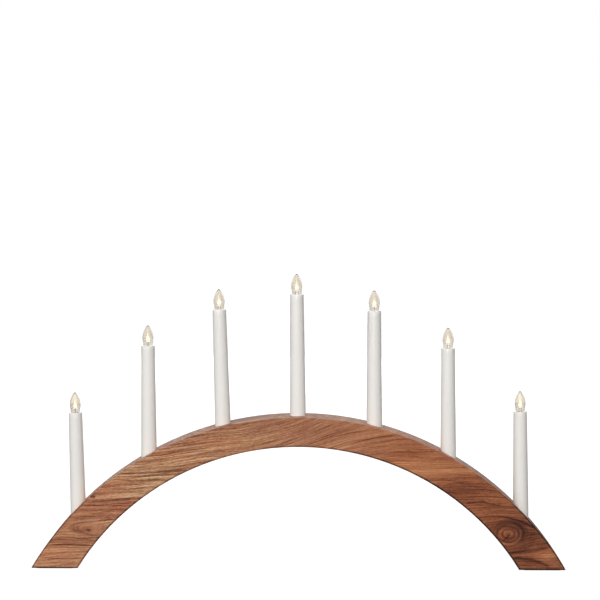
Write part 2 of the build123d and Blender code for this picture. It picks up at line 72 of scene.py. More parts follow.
# ------------------------------------------------------------------ node helpers
class Mat:
    """A node material and short ways to add nodes to it."""

    def __init__(self, name):
        self.mat = bpy.data.materials.new(name)
        self.mat.use_nodes = True
        self.t = self.mat.node_tree
        self.t.nodes.clear()
        self.out = self.t.nodes.new("ShaderNodeOutputMaterial")

    def n(self, kind, **props):
        node = self.t.nodes.new("ShaderNode" + kind)
        for k, v in props.items():
            setattr(node, k, v)
        return node

    def put(self, socket, value):
        if isinstance(value, bpy.types.NodeSocket):
            self.t.links.new(value, socket)
        elif value is not None:
            socket.default_value = value

    def m(self, op, a, b=None, c=None, clamp=False):
        node = self.n("Math", operation=op, use_clamp=clamp)
        for i, v in enumerate((a, b, c)):
            if v is not None:
                self.put(node.inputs[i], v)
        return node.outputs[0]

    def add(self, a, b): return self.m("ADD", a, b)
    def sub(self, a, b): return self.m("SUBTRACT", a, b)
    def mul(self, a, b): return self.m("MULTIPLY", a, b)
    def sq(self, a): return self.m("MULTIPLY", a, a)
    def gauss(self, a): return self.m("EXPONENT", self.mul(self.sq(a), -1.0))

    def step(self, v, lo, hi):
        node = self.n("MapRange", interpolation_type="SMOOTHSTEP", clamp=True)
        self.put(node.inputs["Value"], v)
        node.inputs["From Min"].default_value = lo
        node.inputs["From Max"].default_value = hi
        return node.outputs[0]

    def remap(self, v, lo, hi, to_lo, to_hi):
        node = self.n("MapRange", clamp=True)
        self.put(node.inputs["Value"], v)
        for k, x in (("From Min", lo), ("From Max", hi), ("To Min", to_lo), ("To Max", to_hi)):
            node.inputs[k].default_value = x
        return node.outputs[0]

    def xyz(self, a, b, c):
        node = self.n("CombineXYZ")
        for i, v in enumerate((a, b, c)):
            self.put(node.inputs[i], v)
        return node.outputs[0]

    def noise(self, vec, scale=1.0, detail=4.0, rough=0.55, dist=0.0):
        node = self.n("TexNoise")
        self.put(node.inputs["Vector"], vec)
        node.inputs["Scale"].default_value = scale
        node.inputs["Detail"].default_value = detail
        node.inputs["Roughness"].default_value = rough
        node.inputs["Distortion"].default_value = dist
        return node.outputs["Fac"]

    def ramp(self, fac, stops, mode="LINEAR"):
        node = self.n("ValToRGB")
        self.put(node.inputs[0], fac)
        r = node.color_ramp
        r.interpolation = mode
        while len(r.elements) < len(stops):
            r.elements.new(0.5)
        for e, (p, c) in zip(r.elements, stops):
            e.position, e.color = p, (*c, 1.0)
        return node.outputs[0]

    def mix(self, fac, a, b, blend="MIX"):
        node = self.n("Mix", data_type="RGBA", blend_type=blend, clamp_factor=True)
        self.put(node.inputs[0], fac)
        for s, v in ((node.inputs[6], a), (node.inputs[7], b)):
            self.put(s, v if isinstance(v, bpy.types.NodeSocket) else (*v, 1.0))
        return node.outputs[2]

    def bump(self, height, strength, distance):
        node = self.n("Bump")
        self.put(node.inputs["Height"], height)
        node.inputs["Strength"].default_value = strength
        node.inputs["Distance"].default_value = distance
        return node.outputs[0]

    def coords_mm(self):
        tc = self.n("TexCoord")
        sc = self.n("VectorMath", operation="SCALE")
        self.put(sc.inputs[0], tc.outputs["Object"])
        sc.inputs["Scale"].default_value = 1000.0
        sep = self.n("SeparateXYZ")
        self.put(sep.inputs[0], sc.outputs[0])
        return sc.outputs[0], sep.outputs[0], sep.outputs[1], sep.outputs[2]

    def principled(self, **values):
        node = self.n("BsdfPrincipled")
        for k, v in values.items():
            self.put(node.inputs[k], v)
        self.t.links.new(node.outputs[0], self.out.inputs["Surface"])
        return node


def srgb(r, g, b):
    return tuple((c / 255 / 12.92) if c <= 10.31 else ((c / 255 + 0.055) / 1.055) ** 2.4 for c in (r, g, b))


def paint(obj, mat):
    obj.data.materials.clear()
    obj.data.materials.append(mat)


# ------------------------------------------------------------------ stained and lacquered wood
R_OUT, Z_OUT, R_IN, Z_IN = 365.6, -185.6, 305.5, -160.1


def wood(name, arch=True):
    w = Mat(name)
    p, x, y, z = w.coords_mm()

    # two knots run through the board; the grain spreads round them
    # centre, half width and half height of the knot, how far the grain is pushed aside, how soon it closes to the right
    knots = ((246.5, 43.5, 12.6, 9.8, 0.80, 0.22), (-246.0, 48.5, 20.0, 7.4, 0.70, 0.02))
    wob_a = w.sub(w.noise(w.xyz(w.mul(x, 0.10), w.mul(y, 0.03), w.mul(z, 0.10)), detail=3.0), 0.5)
    wob_b = w.sub(w.noise(w.xyz(w.mul(z, 0.11), w.mul(y, 0.03), w.mul(x, 0.09)), detail=3.0), 0.5)
    zz, rings = z, []
    for kx, kz, ax, az, amount, close in knots:
        gx, gz = w.sub(w.add(x, w.mul(y, 0.12)), kx - 2.9), w.sub(z, kz)
        dx = w.add(w.mul(gx, 1.0 / ax), w.mul(wob_a, 0.16))
        dz = w.add(w.mul(gz, 1.0 / az), w.mul(wob_b, 0.16))
        along = w.add(w.mul(w.sq(w.m("MINIMUM", dx, 0.0)), 0.22), w.mul(w.sq(w.m("MAXIMUM", dx, 0.0)), close))
        lift = w.m("EXPONENT", w.mul(w.add(along, w.mul(w.sq(dz), 0.30 if close > 0.1 else 0.16)), -1.0))
        zz = w.sub(zz, w.mul(w.mul(gz, lift), amount))
        rings.append((w.m("SQRT", w.add(w.sq(dx), w.sq(dz))), dx, dz))

    # the grain climbs to the right, most of all over the crown, and wanders a little
    climb = w.add(w.mul(w.m("TANH", w.mul(w.sub(x, 20.0), 1.0 / 55.0)), 17.0), w.mul(w.m("SMOOTH_MIN", x, 100.0, 90.0), 0.09))
    wander = w.mul(w.sub(w.noise(w.xyz(w.mul(x, 0.012), w.mul(y, 0.012), w.mul(z, 0.014)), detail=1.0), 0.5), 11.0)
    h = w.add(w.sub(zz, climb), wander)

    broad = w.noise(w.xyz(w.mul(x, 0.0045), w.mul(y, 0.016), w.mul(h, 0.062)), detail=3.0, rough=0.55)
    streak = w.noise(w.xyz(w.mul(x, 0.0095), w.mul(y, 0.05), w.mul(h, 0.24)), detail=3.0, rough=0.55)
    line = w.noise(w.xyz(w.mul(x, 0.014), w.mul(y, 0.08), w.mul(h, 0.78)), detail=1.0, rough=0.5)
    hair = w.noise(w.xyz(w.mul(x, 0.024), w.mul(y, 0.15), w.mul(h, 1.25)), detail=1.0, rough=0.5)
    fleck = w.noise(w.xyz(w.mul(x, 0.060), w.mul(y, 0.30), w.mul(h, 0.95)), detail=2.0, rough=0.55)
    fibre = w.noise(w.xyz(w.mul(x, 0.30), w.mul(y, 0.9), w.mul(h, 1.3)), detail=2.0, rough=0.55)
    pore = w.noise(w.xyz(w.mul(x, 0.26), w.mul(y, 1.3), w.mul(h, 2.3)), detail=2.0, rough=0.5)

    # growth rings: slow darkening, then a sharper late-wood line
    ring = w.m("FRACT", w.add(w.mul(h, 1.0 / 8.0), w.mul(broad, 1.4)))
    late = w.mul(w.step(ring, 0.30, 0.92), w.sub(1.0, w.step(ring, 0.94, 1.0)))

    grain = w.mul(w.sub(streak, 0.5), 0.42)
    for fine, amount in ((line, 0.80), (hair, 0.80), (fleck, 0.45), (fibre, 0.65)):
        grain = w.add(grain, w.mul(w.sub(fine, 0.5), amount))
    for fine, lo, hi, amount in ((late, 0.0, 1.0, 0.09), (line, 0.58, 0.72, 0.16), (pore, 0.56, 0.70, 0.18)):
        grain = w.sub(grain, w.mul(w.step(fine, lo, hi), amount))
    tone = w.add(0.63, w.mul(w.sub(broad, 0.5), 0.42))
    if arch:
        # coarser to the left, finest right of the crown; inside the knots the straight grain gives way to rings
        (r_big, dx, dz), (r_eye, ex, ez) = rings
        in_big = w.m("EXPONENT", w.mul(w.sq(w.sq(w.mul(r_big, 1.0 / 1.8))), -1.0))
        in_eye = w.m("EXPONENT", w.mul(w.sq(w.sq(w.mul(r_eye, 1.0 / 1.05))), -1.0))
        gain = w.sub(w.remap(x, -150.0, 10.0, 1.15, 0.85), w.mul(w.gauss(w.mul(w.sub(x, 95.0), 1.0 / 52.0)), 0.18))
        gain = w.mul(gain, w.mul(w.remap(x, -260.0, -200.0, 0.72, 1.0), w.remap(x, 110.0, 180.0, 1.0, 0.80)))
        gain = w.mul(gain, w.mul(w.sub(1.0, w.mul(in_big, 0.80)), w.sub(1.0, w.mul(in_eye, 0.55))))
        tone = w.add(tone, w.mul(grain, gain))
        turns = w.noise(w.xyz(w.mul(r_big, 4.4), w.mul(dx, 0.40), w.mul(dz, 0.40)), detail=2.0, rough=0.55)
        tone = w.add(tone, w.mul(w.mul(w.sub(turns, 0.5), in_big), 0.85))
        leaf = w.noise(w.xyz(w.mul(r_eye, 3.4), w.mul(ex, 0.30), w.mul(ez, 0.30)), detail=2.0, rough=0.55)
        tone = w.add(tone, w.mul(w.mul(w.sub(leaf, 0.5), in_eye), 0.55))
    else:
        tone = w.add(tone, grain)

    def blob(bx, bz, sx, sz):
        return w.m("EXPONENT", w.mul(w.add(w.sq(w.mul(w.sub(x, bx), 1.0 / sx)), w.sq(w.mul(w.sub(z, bz), 1.0 / sz))), -1.0))

    if arch:
        # lighter and darker parts of the board: x, z, half widths, amount
        for bx, bz, sx, sz, amount in (
            (-172, 110, 56, 24, 0.10), (131, 124, 42, 10, 0.10), (290, 17, 13, 6, 0.20), (-60, 152, 50, 14, 0.03), (-270, 26, 54, 40, 0.06),
            (274, 22, 54, 44, -0.26), (245, 50, 50, 40, -0.14), (196, 94, 48, 30, -0.20), (112, 142, 56, 24, -0.07), (10, 165, 60, 20, -0.04),
        ):
            tone = w.add(tone, w.mul(blob(bx, bz, sx, sz), amount))
        # single dark streaks: from x to x, height at start, middle and end, half width, depth
        for x0, x1, z0, z1, z2, half, amount in (
            (-22, 43, 148.8, 160.8, 173.0, 0.9, 0.24), (8, 84, 147.2, 158.8, 166.0, 0.8, 0.26), (61, 114, 149.2, 155.8, 159.5, 0.9, 0.28),
            (-120, -52, 138.0, 142.0, 150.0, 0.8, 0.12), (150, 212, 110.0, 106.0, 98.0, 0.9, 0.08),
            (-208, -130, 113.2, 114.8, 119.6, 0.8, 0.46), (-159, -131, 114.3, 116.1, 118.0, 0.7, 0.30), (-210, -160, 105.8, 105.5, 107.2, 0.8, 0.34),
            (-200, -167, 99.9, 101.0, 101.9, 0.7, 0.30), (-205, -150, 109.6, 110.3, 112.6, 0.6, 0.20), (-216, -165, 95.0, 95.6, 97.2, 0.7, 0.22),
            (-294, -243, 28.8, 29.1, 28.2, 0.8, 0.46), (-287, -239, 36.5, 37.2, 33.8, 1.8, 0.20), (-302, -255, 13.5, 12.3, 12.9, 0.8, 0.22),
            (-294, -262, 8.0, 7.2, 7.7, 0.8, 0.14), (-270, -216, 58.8, 63.4, 67.0, 2.2, 0.18), (-257, -226, 70.4, 71.0, 71.9, 0.9, 0.22),
            (-249, -189, 79.0, 81.6, 85.8, 1.0, 0.24), (-252, -197, 76.9, 75.3, 76.4, 0.9, 0.18), (-244, -238, 85.6, 85.8, 85.6, 1.6, 0.50),
            (-262, -213, 54.0, 57.2, 59.6, 1.0, 0.22), (-234, -212, 57.0, 58.5, 60.0, 1.1, 0.20), (-265, -235, 46.6, 41.9, 39.3, 0.9, 0.16),
            (-270, -256, 49.6, 52.9, 55.0, 1.0, 0.12), (-258, -205, 63.0, 67.5, 74.0, 1.0, 0.14), (-236, -196, 70.5, 74.5, 80.0, 0.8, 0.14),
            (197, 219, 79.5, 81.0, 81.6, 1.3, 0.30), (216, 239, 81.6, 79.0, 77.7, 1.2, 0.26), (205, 242, 61.0, 63.8, 64.0, 1.0, 0.28),
            (240, 279, 64.0, 59.2, 50.2, 1.3, 0.32), (246, 298, 21.0, 24.5, 28.0, 1.9, 0.30), (251, 296, 14.8, 12.9, 5.0, 1.9, 0.30),
        ):
            t = w.m("DIVIDE", w.sub(x, x0), x1 - x0)
            c2 = 2 * z0 - 4 * z1 + 2 * z2
            c1 = -3 * z0 + 4 * z1 - z2
            path = w.add(w.mul(w.add(w.mul(t, c2), c1), t), z0)
            off = w.mul(w.add(w.sub(z, path), w.mul(w.sub(fleck, 0.5), 1.0)), 1.0 / half)
            ends = w.mul(w.step(t, -0.10, 0.14), w.sub(1.0, w.step(t, 0.82, 1.08)))
            tone = w.sub(tone, w.mul(w.mul(w.gauss(off), ends), amount))

        # the large knot: a mottled core in a dark band, heavier up and to the right, fainter rings outside it and a short crack
        core = w.sub(1.0, w.step(r_big, 0.85, 1.0))
        tone = w.add(tone, w.mul(core, w.add(0.01, w.mul(w.sub(wob_a, wob_b), 0.38))))
        lean = w.add(0.12, w.mul(w.add(dx, dz), 0.035))
        tone = w.sub(tone, w.mul(w.gauss(w.mul(w.sub(r_big, 1.46), 4.6)), lean))
        for at, sharp, amount in ((0.98, 12.0, 0.10), (0.62, 11.0, 0.07), (0.34, 11.0, 0.05), (1.86, 12.0, 0.06), (2.16, 11.0, 0.06), (2.46, 10.0, 0.05)):
            tone = w.sub(tone, w.mul(w.gauss(w.mul(w.sub(r_big, at), sharp)), amount))
        crack = w.mul(w.gauss(w.mul(w.add(w.sub(dz, w.mul(dx, 1.06)), w.add(w.mul(wob_b, 0.3), 0.27)), 12.0)),
                      w.mul(w.step(dx, -0.54, -0.40), w.sub(1.0, w.step(dx, 0.08, 0.22))))
        tone = w.sub(tone, w.mul(crack, 0.30))
        # the small eye: a leaf shape round a dark point
        tone = w.sub(tone, w.mul(w.gauss(w.mul(w.sub(r_eye, 1.0), 5.5)), w.remap(ex, -1.0, 0.6, 0.18, 0.02)))
        tone = w.sub(tone, w.mul(w.sub(1.0, w.step(r_eye, 0.7, 1.05)), w.remap(ex, -0.9, 0.7, 0.16, 0.02)))
        tone = w.sub(tone, w.mul(blob(-253, 46.4, 8.0, 2.2), 0.16))
        tone = w.sub(tone, w.mul(blob(-246.3, 46.2, 2.4, 1.4), 0.42))

        # painted shade: the arrises at the soffit, the outer edges of the legs and the back of the top are darkened,
        # and so are the foot bottoms, most of all on the legs
        rad_in = w.sub(w.m("SQRT", w.add(w.sq(x), w.sq(w.sub(z, Z_IN)))), R_IN)
        rad_out = w.sub(R_OUT, w.m("SQRT", w.add(w.sq(x), w.sq(w.sub(z, Z_OUT)))))
        front = w.step(w.m("ABSOLUTE", y), 22.2, 23.4)
        far = w.m("ABSOLUTE", x)
        painted_shade_in = w.mul(w.mul(w.sub(1.0, w.step(rad_in, 0.9, 2.5)), front), w.mul(w.remap(far, 40.0, 200.0, 0.40, 0.62), w.remap(x, -60.0, 120.0, 0.72, 1.15)))
        painted_shade_foot = w.mul(w.sub(1.0, w.step(z, 1.6, 2.9)), 0.8)
        painted_shade_out = w.mul(w.mul(w.sub(1.0, w.step(rad_out, 0.5, 2.0)), front), w.mul(w.step(far, 215.0, 290.0), 0.6))
        painted_shade_back = w.mul(w.mul(w.sub(1.0, w.step(rad_out, 0.4, 1.0)), w.step(y, 21.6, 22.8)), 0.7)
        painted_shade_edges = w.m("MAXIMUM", w.m("MAXIMUM", painted_shade_in, painted_shade_foot), w.m("MAXIMUM", painted_shade_out, painted_shade_back))
        # the painted shade darkens the wood along these edges; the same mask also raises the roughness there
        tone = w.sub(tone, w.mul(painted_shade_edges, 0.85))

    colour = w.ramp(tone, (
        (0.00, srgb(46, 19, 10)), (0.20, srgb(94, 50, 30)), (0.38, srgb(127, 76, 50)), (0.54, srgb(152, 99, 69)),
        (0.70, srgb(171, 119, 86)), (0.86, srgb(190, 143, 107)), (1.00, srgb(205, 164, 129)),
    ))
    hue = w.noise(w.xyz(w.mul(x, 0.014), w.mul(y, 0.02), w.mul(h, 0.06)), detail=3.0)
    colour = w.mix(w.mul(w.step(hue, 0.42, 0.68), 0.5), colour, w.mix(1.0, colour, (1.06, 0.88, 0.78), "MULTIPLY"))
    if arch:
        # the board is yellower on the left shoulder and redder to the right
        colour = w.mix(blob(-168, 110, 58, 30), colour, w.mix(1.0, colour, (0.98, 1.14, 1.14), "MULTIPLY"))
        colour = w.mix(blob(-84, 146, 66, 26), colour, w.mix(1.0, colour, (1.0, 1.12, 1.10), "MULTIPLY"))
        for bx, bz, sx, sz in ((-227, 93, 16, 5), (-203, 76, 15, 6), (-95, 150, 30, 9), (-150, 136, 26, 6)):
            colour = w.mix(w.mul(blob(bx, bz, sx, sz), 0.65), colour, w.mix(1.0, colour, (1.08, 0.86, 0.76), "MULTIPLY"))
        redder = w.mul(w.step(x, 10.0, 150.0), w.sub(1.0, w.mul(w.step(x, 215.0, 262.0), 0.45)))
        colour = w.mix(redder, colour, w.mix(1.0, colour, (1.0, 0.88, 0.74), "MULTIPLY"))
    rough = w.remap(fleck, 0.3, 0.7, 0.34, 0.48)
    if arch:
        rough = w.add(rough, w.mul(painted_shade_edges, 0.45))
    height = w.add(w.add(w.mul(fibre, 0.6), w.mul(pore, 0.35)), w.mul(late, -0.35))
    w.principled(**{
        "Base Color": colour, "Roughness": rough, "Specular IOR Level": 0.22,
        "Normal": w.bump(height, 0.25, 0.00025), "Coat Weight": 0.06, "Coat Roughness": 0.25,
    })
    return w.mat


# ------------------------------------------------------------------ plastics, metals, rubber, felt
def moulded(name, colour, rough, grain=0.9, tint=(0.97, 0.955, 0.93), coat=0.0):
    m = Mat(name)
    p, x, y, z = m.coords_mm()
    cloud = m.noise(p, scale=0.05, detail=3.0)
    fine = m.noise(p, scale=grain, detail=3.0)
    dust = m.noise(p, scale=0.35, detail=5.0, rough=0.7)
    col = m.mix(m.mul(m.step(cloud, 0.35, 0.7), 0.6), colour, tuple(c * t for c, t in zip(colour, tint)))
    col = m.mix(m.mul(m.step(dust, 0.62, 0.8), 0.25), col, tuple(c * 0.9 for c in colour))
    m.principled(**{
        "Base Color": col, "Roughness": m.remap(fine, 0.3, 0.7, rough - 0.05, rough + 0.07),
        "Normal": m.bump(fine, 0.05, 0.0002), "Coat Weight": coat, "Coat Roughness": 0.2,
    })
    return m.mat


def metal(name, colour, rough, scale=(0.3, 0.3, 3.0), dirt=0.35):
    m = Mat(name)
    p, x, y, z = m.coords_mm()
    lines = m.noise(m.xyz(m.mul(x, scale[0]), m.mul(y, scale[1]), m.mul(z, scale[2])), detail=4.0, rough=0.65)
    patch = m.noise(p, scale=0.6, detail=4.0)
    col = m.mix(m.mul(m.step(patch, 0.5, 0.75), dirt), colour, tuple(c * 0.62 for c in colour))
    m.principled(**{
        "Base Color": col, "Metallic": 1.0, "Roughness": m.remap(lines, 0.3, 0.7, rough - 0.08, rough + 0.12),
        "Normal": m.bump(lines, 0.08, 0.0001),
    })
    return m.mat


def felt(name, colour):
    m = Mat(name)
    p, x, y, z = m.coords_mm()
    fuzz = m.noise(p, scale=2.6, detail=6.0, rough=0.75, dist=1.2)
    mottle = m.noise(p, scale=0.35, detail=3.0)
    col = m.ramp(m.add(m.mul(fuzz, 0.7), m.mul(mottle, 0.3)), (
        (0.25, tuple(c * 0.45 for c in colour)), (0.5, colour), (0.8, tuple(min(1, c * 1.9) for c in colour))))
    m.principled(**{"Base Color": col, "Roughness": 0.95, "Normal": m.bump(fuzz, 0.9, 0.0006), "Sheen Weight": 0.4})
    return m.mat


def sleeve_plastic(name, lit):
    """Satin warm-white plastic with a painted glow: the inside of its mouth and a little of its rim emit warm light in
    place of the lit bulb's light.
    """
    m = Mat(name)
    p, x, y, z = m.coords_mm()
    gen = m.n("TexCoord")
    gen_z = m.n("SeparateXYZ")
    m.put(gen_z.inputs[0], gen.outputs["Generated"])
    # painted glow: the topmost part of the sleeve emits warm light as if lit by the bulb
    painted_glow_rim = m.step(gen_z.outputs[2], 0.9780, 0.9950)
    cloud = m.noise(p, scale=0.03, detail=3.0)
    flow = m.noise(m.xyz(m.mul(x, 0.9), m.mul(y, 0.9), m.mul(z, 0.02)), detail=3.0)
    fine = m.noise(p, scale=1.4, detail=3.0)
    dust = m.noise(p, scale=0.22, detail=6.0, rough=0.75)
    base, cool, dull = (0.765, 0.742, 0.704), (0.735, 0.718, 0.690), (0.67, 0.635, 0.590)
    col = m.mix(m.mul(m.step(cloud, 0.35, 0.7), 0.6), base, cool)
    col = m.mix(m.mul(m.step(flow, 0.52, 0.8), 0.30), col, dull)
    col = m.mix(m.mul(m.step(dust, 0.64, 0.82), 0.22), col, dull)
    m.principled(**{
        "Base Color": col, "Roughness": m.remap(fine, 0.3, 0.7, 0.15, 0.22), "Specular IOR Level": 0.30,
        "Normal": m.bump(m.add(m.mul(fine, 0.5), m.mul(flow, 0.8)), 0.05, 0.0003),
        "Emission Color": (1.0, 0.90, 0.79, 1.0), "Emission Strength": m.mul(painted_glow_rim, lit),
    })
    return m.mat


def bulb_clear(name):
    """Clear envelope with fine moulding flow in its surface; its tint turns faintly warm from the LED up to the tip as
    a painted glow of the LED's light.
    """
    m = Mat(name)
    p, x, y, z = m.coords_mm()
    flow = m.noise(m.xyz(m.mul(x, 0.35), m.mul(y, 0.35), m.mul(z, 0.10)), detail=2.0)
    film = m.noise(p, scale=0.5, detail=4.0, rough=0.7)
    gen = m.n("TexCoord")
    gen_z = m.n("SeparateXYZ")
    m.put(gen_z.inputs[0], gen.outputs["Generated"])
    # painted glow: from the LED's height up to the tip the tint is warmer, in place of the LED's light seen in the
    # glass
    warm_glow_zone = m.step(gen_z.outputs[2], 0.38, 0.60)
    tint = m.mix(warm_glow_zone, (0.968, 0.962, 0.956), (0.992, 0.950, 0.868))
    tint = m.mix(m.mul(m.step(film, 0.4, 0.75), 0.6), tint, m.mix(warm_glow_zone, (0.950, 0.944, 0.938), (0.974, 0.928, 0.842)))
    m.principled(**{
        "Base Color": tint, "Roughness": m.remap(film, 0.3, 0.8, 0.015, 0.045), "IOR": 1.47, "Transmission Weight": 1.0,
        "Normal": m.bump(flow, 0.02, 0.0004),
    })
    body = m.n("VolumeAbsorption")
    body.inputs["Color"].default_value = (0.62, 0.42, 0.26, 1.0)
    body.inputs["Density"].default_value = 62.0
    m.t.links.new(body.outputs[0], m.out.inputs["Volume"])
    return m.mat


def led_resin(name, strength):
    """Clear cast resin of the LED, faintly milky, with a little light leaking out at its flange."""
    m = Mat(name)
    tc = m.n("TexCoord")
    sep = m.n("SeparateXYZ")
    m.put(sep.inputs[0], tc.outputs["Generated"])
    up_ = sep.outputs[2]
    speck = m.noise(tc.outputs["Generated"], scale=6.0, detail=3.0)
    flange = m.mul(m.sub(1.0, m.step(up_, 0.12, 0.18)), 2.2)
    glow = m.mul(m.add(flange, m.mul(m.step(up_, 0.25, 0.60), 0.9)), m.remap(speck, 0.2, 0.8, 0.85, 1.1))
    m.principled(**{
        "Base Color": m.mix(speck, (0.99, 0.93, 0.82), (0.96, 0.88, 0.74)), "Roughness": m.remap(speck, 0.3, 0.7, 0.10, 0.18), "IOR": 1.5,
        "Transmission Weight": 1.0, "Emission Color": m.ramp(up_, ((0.0, (1.0, 0.82, 0.56)), (0.6, (1.0, 0.80, 0.52)))), "Emission Strength": m.mul(glow, strength),
    })
    return m.mat


def led_core(name, strength):
    """Lit core of the LED: the reflector cup below, the bright light over the die above it."""
    m = Mat(name)
    tc = m.n("TexCoord")
    sep = m.n("SeparateXYZ")
    m.put(sep.inputs[0], tc.outputs["Generated"])
    up_ = sep.outputs[2]
    speck = m.noise(tc.outputs["Generated"], scale=7.0, detail=3.0)
    lit = m.mul(m.add(m.step(up_, 0.08, 0.30), 0.12), m.remap(speck, 0.2, 0.8, 0.88, 1.1))
    m.principled(**{
        "Base Color": m.mix(speck, (0.86, 0.78, 0.62), (0.92, 0.86, 0.70)), "Roughness": 0.3,
        "Emission Color": m.ramp(up_, ((0.0, (1.0, 0.80, 0.52)), (0.5, (1.0, 0.78, 0.46)), (1.0, (1.0, 0.80, 0.50)))), "Emission Strength": m.mul(lit, strength),
    })
    return m.mat


WOOD = wood("arch_wood")
COVER = wood("cover_wood", arch=False)
# painted glow strengths: faint on the outside of the sleeve's rim, strong inside its mouth
SLEEVE = sleeve_plastic("sleeve_plastic", 0.03)
MOUTH_GLOW = sleeve_plastic("sleeve_mouth_painted_glow", 0.70)
GLASS = bulb_clear("bulb_glass")
LED = led_resin("led_resin", 0.10)
LED_CORE = led_core("led_core", 2.3)
LEAD = metal("tinned_lead", (0.58, 0.54, 0.48), 0.42)
BRASS = metal("stamped_brass", (0.76, 0.58, 0.27), 0.30)
NICKEL = metal("nickel_cap", (0.66, 0.62, 0.55), 0.28)
STEEL = metal("spring_wire", (0.58, 0.58, 0.58), 0.32)
ZINC = metal("screw_zinc", (0.66, 0.60, 0.42), 0.34)
HOLDER = moulded("holder_plastic", (0.86, 0.84, 0.79), 0.5)
WIRE = moulded("wire_pvc", (0.80, 0.78, 0.72), 0.45, grain=2.2)
SPLICE = moulded("splice_nylon", (0.72, 0.69, 0.58), 0.35)
RUBBER = moulded("bush_rubber", (0.028, 0.027, 0.026), 0.68, grain=2.6, tint=(0.7, 0.7, 0.7))
BLACK = moulded("cap_insulator", (0.022, 0.021, 0.024), 0.18, tint=(0.8, 0.8, 0.8))
FELT = felt("foot_felt", (0.14, 0.095, 0.065))

for name, o in nodes.items():
    if name == "arch_body": paint(o, WOOD)
    elif name == "soffit_cover": paint(o, COVER)
    elif name == "cover_screws": paint(o, ZINC)
    elif name.startswith("foot_pad"): paint(o, FELT)
    elif name == "cord_bush": paint(o, RUBBER)
    elif name == "splice_caps": paint(o, SPLICE)
    elif name == "wire_harness": paint(o, WIRE)
    elif name == "lampholder_bodies": paint(o, HOLDER)
    elif name == "lampholder_contacts" or name.startswith("contact_plunger"): paint(o, BRASS)
    elif name.startswith("contact_spring"): paint(o, STEEL)
    elif name.endswith("_cap"): paint(o, NICKEL)
    elif name.endswith("_insulator"): paint(o, BLACK)
    elif name.startswith("candle_sleeve"): paint(o, SLEEVE)
    elif name.endswith("_glass"): paint(o, GLASS)
    elif name.endswith("_led"): paint(o, LED)


# ------------------------------------------------------------------ turned pieces on the candles' own axes
def lathe(name, loop, segments, mat, pos, axis, closed=True, sharp=35.0):
    """Revolves a profile of (radius, height) in mm about an axis; a closed loop gives a closed skin."""
    rot = Vector((0, 0, 1)).rotation_difference(axis).to_matrix()
    verts, faces, rings = [], [], []
    for r, s in loop:
        if r < 1e-6:
            rings.append([len(verts)])
            verts.append(pos + rot @ Vector((0, 0, s / 1000)))
        else:
            ring = []
            for i in range(segments):
                a = 2 * math.pi * i / segments
                ring.append(len(verts))
                verts.append(pos + rot @ Vector((r * math.cos(a) / 1000, r * math.sin(a) / 1000, s / 1000)))
            rings.append(ring)
    pairs = list(zip(rings, rings[1:] + ([rings[0]] if closed else [])))
    if not closed:
        pairs = list(zip(rings, rings[1:]))
    for a, b in pairs:
        if len(a) == 1 and len(b) == 1:
            continue
        for i in range(segments):
            j = (i + 1) % segments
            if len(a) == 1:
                faces.append((a[0], b[j], b[i]))
            elif len(b) == 1:
                faces.append((a[i], a[j], b[0]))
            else:
                faces.append((a[i], a[j], b[j], b[i]))
    mesh = bpy.data.meshes.new(name)
    mesh.from_pydata([tuple(v) for v in verts], [], faces)
    mesh.validate()
    mesh.shade_smooth()
    mesh.set_sharp_from_angle(angle=math.radians(sharp))
    obj = bpy.data.objects.new(name, mesh)
    scene.collection.objects.link(obj)
    paint(obj, mat)
    return obj


def arc(cx, cy, r, a0, a1, n):
    return [(cx + r * math.cos(math.radians(a0 + (a1 - a0) * i / n)), cy + r * math.sin(math.radians(a0 + (a1 - a0) * i / n))) for i in range(n + 1)]


def sleeve_loop():
    L, top, foot, wall, f = 157.0, 7.93, 9.46, 1.2, 0.5
    out = [(foot + (top - foot) * (i / 24) * (L - f) / L, -L + (L - f) * i / 24) for i in range(25)]
    rim = arc(top - f, -f, f, 0, 90, 6)[1:]
    rim_in = arc(top - wall + f, -f, f, 90, 180, 6)
    inn = [(top - wall + (foot - top) * (f + (L - f) * i / 8) / L, -f - (L - f) * i / 8) for i in range(1, 9)]
    return [(foot - wall + 0.25, -L), (foot - 0.25, -L), (foot, -L + 0.25)] + out[1:] + rim + rim_in + inn[:-1] + [(foot - wall, -L + 0.25)]


def envelope(inset):
    """Half profile of the envelope from tip to neck: ogive, shoulder step, narrower stem, neck in the cap."""
    big, tip_r, rmax, smax = 19.9, 1.2, 6.43, 9.8
    cx = rmax - big
    tip_s = smax + math.sqrt((big - tip_r) ** 2 - cx ** 2)
    a_join = math.degrees(math.atan2(tip_s - smax, -cx))
    pts = [(0.0, tip_s + tip_r - inset)]
    pts += arc(0, tip_s, tip_r - inset, 90, a_join, 10)[1:]
    pts += arc(cx, smax, big - inset, a_join, 0, 26)[1:]
    low = inset * 1.3  # the wall is thicker below the widest point
    pts += [(rmax - low - 0.02, 8.4), (rmax - low - 0.07, 7.2), (rmax - low - 0.13, 6.3)]
    pts += [(rmax - low - 0.24, 5.85), (rmax - low - 0.46, 5.55), (rmax - low - 0.58, 5.2), (rmax - low - 0.62, 4.6)]
    pts += [(5.76 - low, 3.0), (5.68 - low, 1.5), (5.60 - low, 0.0), (5.26 - low, -1.5), (4.90 - low, -3.0), (4.54 - low, -4.6), (4.26 - low, -5.7)]
    pts += [(4.15 - low, -6.4), (4.15 - low, -9.4)]
    return pts


